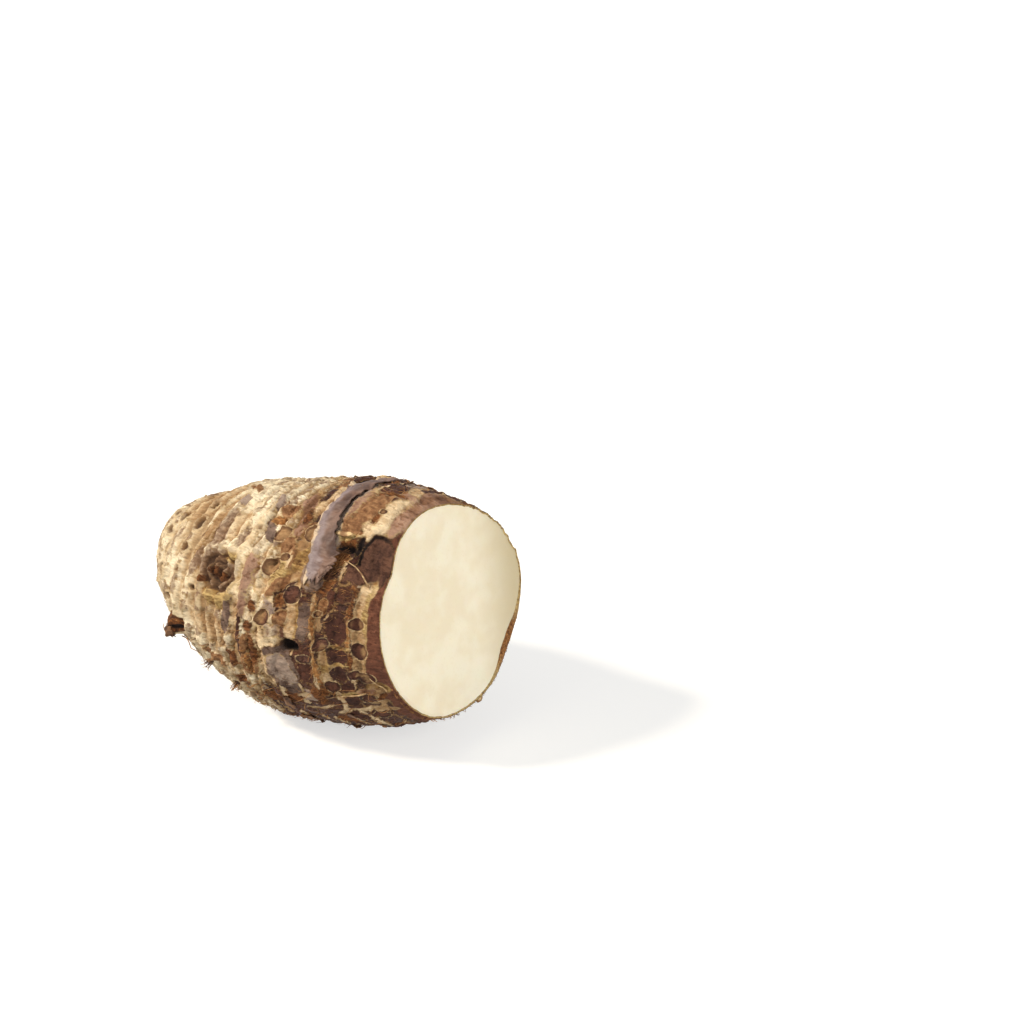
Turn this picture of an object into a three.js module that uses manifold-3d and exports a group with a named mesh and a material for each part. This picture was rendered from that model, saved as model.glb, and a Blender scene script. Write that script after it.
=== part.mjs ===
// One half of a taro corm, cut across with a knife and lying on its side. Millimetres, +Z up.
// X runs along the corm: the cut face looks towards +X and the rounded end points to -X.
// The origin is under the middle of the corm, on the surface that it rests on. The sections are drawn
// from another point, on the cut, and the finished body is moved from there to the origin.
import * as THREE from "three";
import { mergeVertices } from "three/addons/utils/BufferGeometryUtils.js";
import Module from "manifold-3d";

// The body as sections across X. Each row gives the distance from the cut towards the rounded end,
// the heights of the top and the underside, and the sideways reach of the near (-Y) and far (+Y) sides.
const SECTIONS = [
  { at: -10, top: 86.5, under: 17, near: -30.5, far: 47 },
  { at: 13, top: 96, under: 9, near: -39.5, far: 42 },
  { at: 34, top: 96.2, under: 3.5, near: -47, far: 42.5 },
  { at: 60, top: 92.2, under: 0, near: -50, far: 43.5 },
  { at: 85, top: 85.3, under: 3.2, near: -43.8, far: 41 },
  { at: 109, top: 77.8, under: 10, near: -38.6, far: 36 },
];
const END = { at: 146.5, height: 56, side: 5 };
const CLOSING_STARTS = 85; // from here the sections close over to the rounded end
const CLOSING_POWER = 3;

// Angles are in degrees round a section: far side 0, top 90, near side 180, underside 270.
// The cut isn't quite an ellipse. Each lump changes the radius by a share, over a spread of angles.
const CUT_LUMPS = [
  { angle: 8, share: 0.045, spread: 16 },
  { angle: 107, share: 0.05, spread: 20 },
  { angle: 142, share: -0.045, spread: 9 },
  { angle: 244, share: 0.03, spread: 22 },
  { angle: 320, share: -0.06, spread: 20 },
];
const LUMPS_REACH = 38; // how far the lumps run on behind the cut

// Leaf scars ring the corm. Each leaf base stood up towards the cut, so a ring's edge faces the cut,
// and the skin behind it slopes down to the next ring.
const RINGS = [-20, -4, 12, 26, 41, 54, 68, 84, 98, 112, 125, 136, 160];
const RING_HEIGHT = 1.1;
const RING_EDGE = 2.5; // the edge isn't sharp: the skin climbs it over this far
const SWELL = { height: 0.6, length: 60, turns: 3 }; // slow swellings, from uneven growth

// Scars and torn places: where they are, their half widths in mm, the depth of the hollow and its raised rim.
const BUD_SCAR = { at: 76, angle: 152, along: 12, around: 7.5, depth: 2.4, rim: 1.1 };
const SIDE_BUD = { at: 11, angle: 136, along: 6, around: 7, depth: 0.9, rim: 0.5 };
const TORN_POCKET = { at: 20, angle: 134, along: 4.5, around: 4, depth: 2, rim: 0 };
const ROT_HOLE = { at: 35, angle: 181, along: 4, around: 3, depth: 2, rim: 0 };
const OLD_ROOT = { at: 105, angle: 197, along: 5.5, around: 4.5, depth: -2.4, rim: 0 };
const SPOTS = [BUD_SCAR, SIDE_BUD, TORN_POCKET, ROT_HOLE, OLD_ROOT];

// A strip of papery husk still clings to the near side, over the top.
const HUSK = { from: 25, to: 36, start: 78, stop: 155, lift: 1, soft: 2 };

const CUT = { height: 44.2, tilt: 7 }; // the cut crosses X = 0 at this height, and leans back
const TABLE = { height: 0.3 }; // the table presses the underside flat here
const ORIGIN = { x: -71.39, y: -2.4 }; // the middle of the corm, on the table

const FIRST = -10; // the body starts this far in front of the cut, which trims it
const STEP_ALONG = 3;
const STEPS_AROUND = 64;
const FAR_ENOUGH = 400; // larger than the corm, for the slabs that trim it

const radians = THREE.MathUtils.degToRad;
const wrap = THREE.MathUtils.euclideanModulo;
const bell = (x) => Math.exp(-x * x);

function turnBetween(a, b) {
  return wrap(a - b + 180, 360) - 180;
}

// The slope of one key of SECTIONS at a row, weighing the spans on both sides of it.
function slopeAt(key, i) {
  const before = SECTIONS[Math.max(i - 1, 0)];
  const here = SECTIONS[i];
  const after = SECTIONS[Math.min(i + 1, SECTIONS.length - 1)];
  if (before === here || after === here) return (after[key] - before[key]) / (after.at - before.at);
  const back = here.at - before.at;
  const on = after.at - here.at;
  return (((here[key] - before[key]) / back) * on + ((after[key] - here[key]) / on) * back) / (back + on);
}

// One key of SECTIONS at any distance from the cut: a cubic between rows, and straight on past the last.
function sectionValue(key, at) {
  const last = SECTIONS.length - 1;
  if (at >= SECTIONS[last].at) return SECTIONS[last][key] + slopeAt(key, last) * (at - SECTIONS[last].at);
  let i = 0;
  while (at > SECTIONS[i + 1].at) i++;
  const span = SECTIONS[i + 1].at - SECTIONS[i].at;
  const t = (at - SECTIONS[i].at) / span;
  const ease = t * t * (3 - 2 * t);
  return (
    SECTIONS[i][key] * (1 - ease) +
    SECTIONS[i + 1][key] * ease +
    span * t * (1 - t) * ((1 - t) * slopeAt(key, i) - t * slopeAt(key, i + 1))
  );
}

// 1 along the corm, falling to 0 where it closes over.
function closing(at) {
  const t = Math.max(at - CLOSING_STARTS, 0) / (END.at - CLOSING_STARTS);
  return Math.sqrt(Math.max(1 - t ** CLOSING_POWER, 0));
}

function lumpiness(at, angle) {
  const shares = CUT_LUMPS.map((lump) => lump.share * bell(turnBetween(angle, lump.angle) / lump.spread));
  return 1 + shares.reduce((sum, share) => sum + share, 0) * bell(Math.max(at, 0) / LUMPS_REACH);
}

// A point on the body before its skin has any relief.
function bodyPoint(at, angle) {
  const [top, under, near, far] = ["top", "under", "near", "far"].map((key) => sectionValue(key, at));
  const lump = lumpiness(at, angle);
  const side = (near + far) / 2 + ((far - near) / 2) * Math.cos(radians(angle)) * lump;
  const height = (top + under) / 2 + ((top - under) / 2) * Math.sin(radians(angle)) * lump;
  const share = closing(at);
  return new THREE.Vector3(
    -at,
    END.side + (side - END.side) * share,
    END.height + (height - END.height) * share,
  );
}

// The rings wander a little, and none runs quite straight round.
function ringHeight(at, angle) {
  const slow = 1.3 * Math.sin(radians(2 * angle + 40));
  const quick = 0.7 * Math.sin(radians(5 * angle) + at / 20);
  const wandering = at + slow + quick;
  const next = RINGS.findIndex((ring) => ring > wandering);
  const behind = (wandering - RINGS[next - 1]) / (RINGS[next] - RINGS[next - 1]);
  const climbing = THREE.MathUtils.clamp(1 - (RINGS[next] - wandering) / RING_EDGE, 0, 1);
  return RING_HEIGHT * (Math.max(1 - behind, climbing) - 0.5);
}

function spotHeight(spot, at, angle) {
  const centre = bodyPoint(spot.at, spot.angle);
  const radius = Math.hypot(centre.y - END.side, centre.z - END.height);
  const across = radians(turnBetween(angle, spot.angle)) * radius;
  const reach = Math.hypot((at - spot.at) / spot.along, across / spot.around);
  return spot.rim * bell((reach - 1.3) / 0.3) - spot.depth * Math.exp(-(reach ** 4));
}

function huskHeight(at, angle) {
  const slant = (angle - HUSK.start) / 12; // the strip leans towards the cut as it comes down
  const along = Math.min(at + slant - HUSK.from, HUSK.to - at - slant / 2) / HUSK.soft;
  const around = Math.min(angle - HUSK.start, HUSK.stop - angle) / 4;
  return HUSK.lift * THREE.MathUtils.clamp(Math.min(along, around), 0, 1);
}

// How far the skin stands out of the body, in mm.
function relief(at, angle) {
  const swell = SWELL.height * Math.sin((2 * Math.PI * at) / SWELL.length + radians(SWELL.turns * angle));
  const spots = SPOTS.reduce((sum, spot) => sum + spotHeight(spot, at, angle), 0);
  return (ringHeight(at, angle) + swell) * closing(at) + spots + huskHeight(at, angle);
}

// The profile that is turned into the body: how far it has closed over, and the distance along the corm.
// It runs from the rounded end to the cut, so that the faces point outwards.
function profile() {
  const points = [new THREE.Vector2(0, FIRST)];
  const straight = Math.round((CLOSING_STARTS - FIRST) / STEP_ALONG);
  for (let i = 0; i <= straight; i++) {
    points.push(new THREE.Vector2(1, THREE.MathUtils.lerp(FIRST, CLOSING_STARTS, i / straight)));
  }
  const curved = Math.round((1.15 * (END.at - CLOSING_STARTS)) / STEP_ALONG);
  for (let i = 1; i < curved; i++) {
    const share = Math.sin((Math.PI / 2) * (i / curved));
    const at = THREE.MathUtils.lerp(CLOSING_STARTS, END.at, share);
    points.push(new THREE.Vector2(closing(at), at));
  }
  points.push(new THREE.Vector2(0, END.at));
  return points.reverse();
}

// A geometry with shared vertices merged, and without the flat triangles that a lathe has at its poles.
function welded(geometry) {
  const bare = geometry.clone();
  for (const name of ["normal", "uv"]) if (bare.hasAttribute(name)) bare.deleteAttribute(name);
  const merged = mergeVertices(bare, 1e-4);
  const corners = merged.index.array;
  const kept = [];
  for (let i = 0; i < corners.length; i += 3) {
    const [a, b, c] = [corners[i], corners[i + 1], corners[i + 2]];
    if (a !== b && b !== c && c !== a) kept.push(a, b, c);
  }
  merged.setIndex(kept);
  return merged;
}

// A round bar is turned on the lathe, bent to the body's sections, and its skin raised along its normals.
function cormGeometry() {
  const geometry = welded(new THREE.LatheGeometry(profile(), STEPS_AROUND));
  const position = geometry.attributes.position;
  const places = [];
  for (let i = 0; i < position.count; i++) {
    const at = position.getY(i);
    const angle = wrap(THREE.MathUtils.radToDeg(Math.atan2(position.getX(i), position.getZ(i))), 360);
    const onAxis = Math.hypot(position.getX(i), position.getZ(i)) < 1e-3;
    const point = onAxis ? new THREE.Vector3(-at, END.side, END.height) : bodyPoint(at, angle);
    position.setXYZ(i, point.x, point.y, point.z);
    places.push({ at, angle, onAxis });
  }
  geometry.computeVertexNormals();
  const normal = geometry.attributes.normal;
  places.forEach((place, i) => {
    if (place.onAxis) return;
    const point = new THREE.Vector3().fromBufferAttribute(position, i);
    const outwards = new THREE.Vector3().fromBufferAttribute(normal, i);
    point.addScaledVector(outwards, relief(place.at, place.angle));
    position.setXYZ(i, point.x, point.y, point.z);
  });
  return geometry;
}

function toSolid(wasm, geometry) {
  const mesh = welded(geometry);
  return new wasm.Manifold(
    new wasm.Mesh({
      numProp: 3,
      vertProperties: mesh.attributes.position.array,
      triVerts: new Uint32Array(mesh.index.array),
    }),
  );
}

function toGeometry(solid) {
  const mesh = solid.getMesh();
  const geometry = new THREE.BufferGeometry();
  geometry.setAttribute("position", new THREE.BufferAttribute(mesh.vertProperties, 3));
  geometry.setIndex(new THREE.BufferAttribute(mesh.triVerts, 1));
  geometry.computeVertexNormals();
  return geometry;
}

// A large box with one face through a point. It fills the side that the normal points to.
function slab(point, normal) {
  const box = new THREE.BoxGeometry(FAR_ENOUGH, FAR_ENOUGH, FAR_ENOUGH);
  box.translate(0, 0, FAR_ENOUGH / 2);
  box.applyQuaternion(new THREE.Quaternion().setFromUnitVectors(new THREE.Vector3(0, 0, 1), normal));
  return box.translate(point.x, point.y, point.z);
}

const wasm = await Module();
wasm.setup();

const cutNormal = new THREE.Vector3(Math.cos(radians(CUT.tilt)), 0, Math.sin(radians(CUT.tilt)));
const knife = slab(new THREE.Vector3(0, 0, CUT.height), cutNormal);
const whole = toSolid(wasm, cormGeometry());
const half = whole.subtract(toSolid(wasm, knife));

const table = slab(new THREE.Vector3(0, 0, TABLE.height), new THREE.Vector3(0, 0, -1));
const geometry = toGeometry(half.subtract(toSolid(wasm, table)));
geometry.translate(-ORIGIN.x, -ORIGIN.y, -TABLE.height);

const corm = new THREE.Mesh(
  geometry,
  new THREE.MeshStandardMaterial({ color: "#7a5a3c", roughness: 0.85, metalness: 0 }),
);
corm.name = "corm";

const part = new THREE.Group();
part.add(corm);
export default part;
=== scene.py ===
# %% [markdown]
# # A cut taro corm
# A taro corm is the swollen underground stem of an aroid. This one was cut across with a knife, and one half
# lies on its side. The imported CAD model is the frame: it fixes the size and the place. The half grew as one
# piece, so one closed mesh stands for it here, and only its loose husk, fibres and root stubs are pieces of
# their own.

# %% Frame
import math
import random

import bmesh
import bpy
import numpy as np
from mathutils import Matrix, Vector, noise
from mathutils.bvhtree import BVHTree


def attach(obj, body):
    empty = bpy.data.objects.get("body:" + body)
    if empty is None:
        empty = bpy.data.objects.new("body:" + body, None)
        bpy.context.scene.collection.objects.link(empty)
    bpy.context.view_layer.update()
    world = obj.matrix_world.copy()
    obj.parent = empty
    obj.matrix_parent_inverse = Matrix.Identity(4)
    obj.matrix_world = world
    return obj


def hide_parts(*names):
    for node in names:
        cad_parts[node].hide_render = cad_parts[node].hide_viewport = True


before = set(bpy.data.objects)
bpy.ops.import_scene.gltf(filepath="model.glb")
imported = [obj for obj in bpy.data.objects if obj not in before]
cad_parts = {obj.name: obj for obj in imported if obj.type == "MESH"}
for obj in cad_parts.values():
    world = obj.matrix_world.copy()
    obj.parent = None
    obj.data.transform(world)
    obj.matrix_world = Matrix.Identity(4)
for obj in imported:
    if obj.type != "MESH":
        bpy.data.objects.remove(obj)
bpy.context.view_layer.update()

MM = 0.001

# %% [markdown]
# ## The smooth body
# A corm has no ruled or round parts, but its long shape is simple: an egg that was cut off. It could be
# sculpted from a sphere, but then nothing would have a known size. Here it is a round bar bent to a few
# sections, the same ones that the CAD model is drawn from, so that both have one outline. A place on the
# skin is two numbers: the distance from the cut towards the rounded end in mm, and the angle round the corm
# in degrees, with the far side at 0, the top at 90, the near side at 180 and the underside at 270.

# %% Sections of the body
SECTIONS = np.array([  # distance from the cut, top, underside, near side, far side
    (-10, 86.5, 17, -30.5, 47),
    (13, 96, 9, -39.5, 42),
    (34, 96.2, 3.5, -47, 42.5),
    (60, 92.2, 0, -50, 43.5),
    (85, 85.3, 3.2, -43.8, 41),
    (109, 77.8, 10, -38.6, 36),
])
END_AT, END_HEIGHT, END_SIDE = 146.5, 56, 5
CLOSING_STARTS, CLOSING_POWER = 85, 3
CUT_LUMPS = [  # angle, share that it adds to the radius, spread in degrees
    (8, 0.045, 16), (107, 0.05, 20), (142, -0.045, 9), (244, 0.03, 22), (320, -0.06, 20),
]
LUMPS_REACH = 38  # mm from the cut, over which the lumps die away
CUT_HEIGHT, CUT_TILT = 44.2, math.radians(7)
SHIFT = np.array([71.39, 2.4, -0.3])  # from the point that the sections are drawn from to the frame's origin

# %% Three small curves
def bell(x):
    return np.exp(-x * x)


def smooth(x, low, high):
    t = np.clip((x - low) / (high - low), 0, 1)
    return t * t * (3 - 2 * t)


def turn_between(a, b):
    return (a - b + 180) % 360 - 180


# %% From the sections to points on the body
def section_value(column, at):
    rows, value = SECTIONS[:, 0], SECTIONS[:, column]
    slope = np.gradient(value, rows)
    held = np.clip(at, rows[0], rows[-1])
    i = np.clip(np.searchsorted(rows, held) - 1, 0, len(rows) - 2)
    span = rows[i + 1] - rows[i]
    t = (held - rows[i]) / span
    ease = t * t * (3 - 2 * t)
    bend = span * t * (1 - t) * ((1 - t) * slope[i] - t * slope[i + 1])
    return value[i] * (1 - ease) + value[i + 1] * ease + bend + slope[-1] * (at - held)


def closing(at):
    t = np.maximum(at - CLOSING_STARTS, 0) / (END_AT - CLOSING_STARTS)
    return np.sqrt(np.maximum(1 - t**CLOSING_POWER, 0))


def body_point(at, angle):
    """Points on the smooth body, in mm in the frame."""
    top, under, near, far = (section_value(column, at) for column in (1, 2, 3, 4))
    shares = sum(share * bell(turn_between(angle, lump) / spread) for lump, share, spread in CUT_LUMPS)
    lump = 1 + shares * bell(np.maximum(at, 0) / LUMPS_REACH)
    side = (near + far) / 2 + (far - near) / 2 * np.cos(np.radians(angle)) * lump
    height = (top + under) / 2 + (top - under) / 2 * np.sin(np.radians(angle)) * lump
    share = closing(at)
    side = END_SIDE + (side - END_SIDE) * share
    height = END_HEIGHT + (height - END_HEIGHT) * share
    return np.stack(np.broadcast_arrays(-at, side, height), axis=-1) + SHIFT


def body_normal(at, angle):
    along = body_point(at + 0.2, angle) - body_point(at - 0.2, angle)
    around = body_point(at, angle + 0.3) - body_point(at, angle - 0.3)
    normal = np.cross(along, around)
    return normal / np.maximum(np.linalg.norm(normal, axis=-1, keepdims=True), 1e-9)


def radius_at(at, angle):
    point = body_point(at, angle) - SHIFT
    return np.maximum(np.hypot(point[..., 1] - END_SIDE, point[..., 2] - END_HEIGHT), 0.5)


# %% Where the skin meets the cut
def cut_at(angle):
    """Where the skin meets the cut, which leans back: found by trying again from each answer."""
    at = np.zeros_like(angle)
    for _ in range(8):
        height = (body_point(at, angle) - SHIFT)[..., 2]
        at = (height - CUT_HEIGHT) * math.tan(CUT_TILT)
    return at


print("the cut's edge, mm:", np.round(cut_at(np.array([0.0, 90.0, 180.0, 270.0])), 1))

# %% [markdown]
# ## A round bar, ready to be bent
# The skin needs points every 0.8 mm, or its scars blur. A profile is spun once round X: from the middle of
# the cut face out to its edge, then along the skin to the rounded end. That makes one closed mesh with even
# rows, whose row numbers and angles say which place on the corm each point becomes.

# %% Spin the bar
STEPS_AROUND = 370
FACE_ROWS = 26
STRAIGHT_ROWS = 112
CURVED_ROWS = 112
SKIN_ROWS = STRAIGHT_ROWS + CURVED_ROWS
RIND_ROWS = 3  # the rows of the cut face that show the skin's own thickness


def spun_bar():
    bar = bmesh.new()
    ends = [bar.verts.new((x, 1, 0)) for x in (1 - FACE_ROWS, SKIN_ROWS - 1)]
    edge = bar.edges.new(ends)
    bmesh.ops.subdivide_edges(bar, edges=[edge], cuts=FACE_ROWS + SKIN_ROWS - 3)
    ends = [choose(bar.verts, key=lambda vert: vert.co.x) for choose in (min, max)]
    for x, end in zip((-FACE_ROWS, SKIN_ROWS), ends):
        bar.edges.new((bar.verts.new((x, 0, 0)), end))
    bmesh.ops.spin(
        bar, geom=bar.verts[:] + bar.edges[:], axis=(1, 0, 0), cent=(0, 0, 0), angle=2 * math.pi,
        steps=STEPS_AROUND, use_merge=True, use_duplicate=False,
    )
    bmesh.ops.remove_doubles(bar, verts=bar.verts[:], dist=0.001)
    bmesh.ops.recalc_face_normals(bar, faces=bar.faces[:])
    for face in bar.faces:
        face.smooth = True
        face.material_index = int(face.calc_center_median().x < -RIND_ROWS)
    mesh = bpy.data.meshes.new("corm_skin")
    bar.to_mesh(mesh)
    bar.free()
    return mesh


corm_mesh = spun_bar()
bar_points = np.empty(len(corm_mesh.vertices) * 3)
corm_mesh.vertices.foreach_get("co", bar_points)
bar_points = bar_points.reshape(-1, 3)
row = bar_points[:, 0]
angle = np.degrees(np.arctan2(bar_points[:, 2], bar_points[:, 1])) % 360
on_face = row < -0.5


def triangles(mesh):
    return sum(len(face.vertices) - 2 for face in mesh.polygons)


print("corm:", len(corm_mesh.vertices), "points,", triangles(corm_mesh), "triangles")

# %% Which place each point becomes
edge_at = cut_at(angle)
straight = edge_at + (CLOSING_STARTS - edge_at) * np.clip(row, 0, STRAIGHT_ROWS) / STRAIGHT_ROWS
curve = np.sin(math.pi / 2 * np.clip(row - STRAIGHT_ROWS, 0, CURVED_ROWS) / CURVED_ROWS)
at = np.where(row <= STRAIGHT_ROWS, straight, CLOSING_STARTS + (END_AT - CLOSING_STARTS) * curve)
smooth_skin = body_point(at, angle)
outwards = body_normal(np.minimum(at, END_AT - 0.3), angle)
radius = radius_at(at, angle)


def grain(size, seed, octaves=2, points=smooth_skin):
    """Noise from about -1 to 1, with lumps of that size in mm."""
    shift = Vector((seed * 17.3, seed * 5.9, seed * 11.1))
    return np.array([noise.fractal(Vector(p) + shift, 0.9, 2.1, octaves) for p in points / size])


# %% [markdown]
# ## The pattern of the skin
# Leaf scars ring the corm and split its bark into bands. Within a band the bark cracks across into dark
# plates, with pale corky skin in the cracks. Each leaf base stood up towards the cut, so a ring's edge faces
# the cut and the skin behind it slopes down. Every place gets its distance to the nearest crack and a number
# of its own for each plate. The edges wander with noise, because nothing here is ruled.

# %% Rings, plates and cracks
RINGS = np.array([
    -6, 6, 12, 19, 26, 33, 41, 48, 54, 60.5, 68, 76, 84, 92, 101, 110, 120, 129, 138, 160,
])
STRONG_RING, WEAK_RING = 1.1, 0.45
PLATES_AROUND = 34

wander_along = grain(9, 1) * 1.6 + grain(2.5, 2) * 0.7
wander_around = grain(9, 3) * 1.6 + grain(2.5, 4) * 0.7
along = at + wander_along
around = angle + np.degrees(wander_around / radius)

MIXERS, MIXED_SCALE = (12.9898, 78.233, 37.719), 43758.5453  # any uneven numbers will do


def chance(*whole):
    """A number from 0 to 1 that is always the same for the same whole numbers."""
    mixed = sum(w * k for w, k in zip(whole, MIXERS))
    return (np.sin(mixed) * MIXED_SCALE) % 1


band = np.clip(np.searchsorted(RINGS, along) - 1, 0, len(RINGS) - 2)
behind_ring = along - RINGS[band]
before_ring = RINGS[band + 1] - along
ring_strength = np.where(np.arange(len(RINGS)) % 2 == 0, STRONG_RING, WEAK_RING)
slope_down = ring_strength[band] * (1 - behind_ring / (behind_ring + before_ring))
climb = ring_strength[band + 1] * np.clip(1 - before_ring / 1.2, 0, 1)
ring_height = (np.maximum(slope_down, climb) - 0.4) * (1 - 0.7 * smooth(along, 50, 66))

place = around / 360 * PLATES_AROUND + 0.5 * (band % 2)
first = np.floor(place)
joints = []
for step in (-1, 0, 1, 2):
    uneven = 2 * chance(band, (first + step) % PLATES_AROUND, 1) - 1
    joints.append(first + step + 0.3 * uneven)
plate = first - 1 + sum((place > joint).astype(int) for joint in joints[1:3])
plate_width = 2 * math.pi * radius / PLATES_AROUND
to_joint = np.min([np.abs(place - joint) for joint in joints], axis=0) * plate_width
to_crack = (np.maximum(to_joint, 0.05) ** -3 + np.maximum(behind_ring, 0.05) ** -3
            + np.maximum(before_ring, 0.05) ** -3) ** (-1 / 3)
print("plates:", len(np.unique(band * 100 + plate % PLATES_AROUND)))

# %% [markdown]
# ## Where each kind of skin shows
# The skin isn't one colour. Fresh skin near the cut is smooth and maroon, cork is cream, plates are dark
# purple-brown, torn places are fibrous, husk is papery and lilac, and the old rounded end is pale and dusty.
# Holes and gaps that sink into the skin are painted near black, which is painted shade.
# Each kind is a mask on the points, from 0 to 1, which the material reads by name. First each plate is given
# a kind by chance, which finishes the hidden sides; then patches are painted over one by one on the near
# side.
# The old skin reaches nearer to the cut on that side, and its border wanders more on the hidden ones.

# %% Kinds of skin by chance
KINDS = [
    "plate", "slate", "plum", "fibre", "amber", "tan", "lilac", "earth", "straw", "olive", "cream", "mauve",
    "maroon", "disc", "hollow",
]
mask = {kind: np.zeros(len(row)) for kind in KINDS}
near_side = smooth(angle, 70, 92) * (1 - smooth(angle, 196, 216))
OLD_STARTS, OLD_ENDS = 50 - 9 * near_side, 66 - 12 * near_side
old = smooth(along + (3 + 9 * (1 - near_side)) * grain(14, 8), OLD_STARTS, OLD_ENDS)
pick = chance(band, plate % PLATES_AROUND, 3)
LOTS = [("plate", 0.66), ("fibre", 0.80), ("tan", 0.89), ("lilac", 1.0)]
low = 0
for kind, high in LOTS:
    mask[kind] += (1 - old) * ((pick >= low) & (pick < high))
    low = high
rib_phase = behind_ring / (behind_ring + before_ring)
rib = bell((rib_phase - 0.4) / 0.26)
dust = grain(5, 5, 3)
worn = smooth(rib - 0.35 + 0.8 * dust, 0.0, 0.6)
mask["straw"] += old * (1 - 0.75 * worn)
mask["earth"] += old * 0.75 * worn


def paint(kind, amount):
    """Lays one kind of skin over the others."""
    for other in KINDS:
        mask[other] *= 1 - amount
    mask[kind] += amount


strip_width = np.clip(0.9 + 2.2 * grain(10, 7), 0, 2.6)
strip = (1 - smooth(behind_ring, strip_width - 0.8, strip_width + 0.8)) * smooth(strip_width, 0.3, 0.9)
paint("cream", strip * (1 - old))
beside_side_bud = smooth(angle, 60, 75) * (1 - smooth(angle, 198, 206))
beside_top = bell(turn_between(angle, 104) / 22)
fresh_to = 3.2 + 4.3 * beside_side_bud + 1.2 * beside_top + 1.2 * grain(4, 6)
fresh = 1 - smooth(along, fresh_to - 1, fresh_to + 1)
paint("maroon", fresh)
paint("mauve", fresh * (1 - smooth(np.abs(turn_between(angle, 85)), 25, 40)))
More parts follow.
